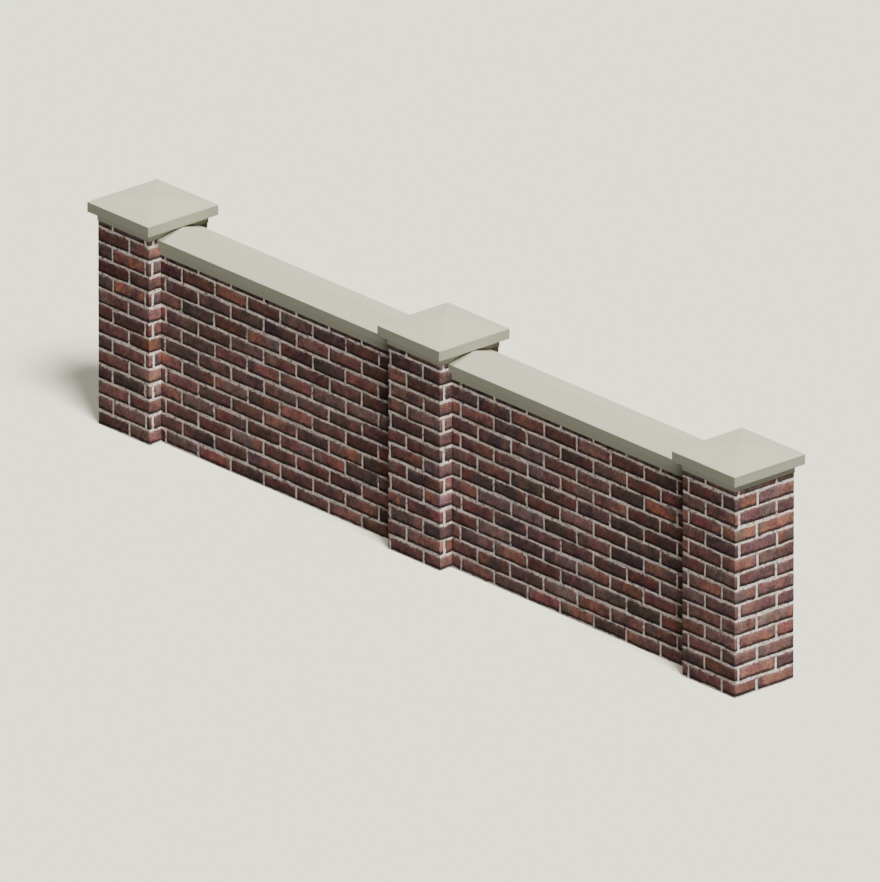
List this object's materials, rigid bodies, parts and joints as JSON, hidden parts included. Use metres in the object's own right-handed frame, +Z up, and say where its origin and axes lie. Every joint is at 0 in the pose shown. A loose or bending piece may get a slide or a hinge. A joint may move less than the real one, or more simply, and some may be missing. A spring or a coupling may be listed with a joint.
{
  "type": "brick garden wall",
  "caption": "Free-standing brick garden wall: panels under saddleback copings between square piers with pyramid caps, to enclose or edge a garden.",
  "frame": {"origin": "ground level under the centre of the middle pier, at the bottom centre of the whole wall", "axes": "+X along the wall, to the right as seen from the front; +Y from the front face to the back; +Z up"},
  "size_m": [4.424, 0.424, 1.138],
  "materials": {
    "brick": "rough fired clay facing bricks in pale mortar",
    "split_brick": "rough fired clay split bricks in pale mortar",
    "stone_slab": "fine cast stone, matt",
    "cast_stone": "fine cast stone, matt"
  },
  "bodies": {
    "root": {"left_pier": "brick", "middle_pier": "brick", "right_pier": "brick", "left_pier_creasing": "split_brick", "middle_pier_creasing": "split_brick", "right_pier_creasing": "split_brick", "left_pier_neck": "stone_slab", "middle_pier_neck": "stone_slab", "right_pier_neck": "stone_slab", "left_pier_cap": "cast_stone", "middle_pier_cap": "cast_stone", "right_pier_cap": "cast_stone", "left_panel": "brick", "right_panel": "brick", "left_panel_creasing": "split_brick", "right_panel_creasing": "split_brick", "left_coping_bed": "stone_slab", "right_coping_bed": "stone_slab", "left_coping": "cast_stone", "right_coping": "cast_stone"}
  },
  "joints": []
}
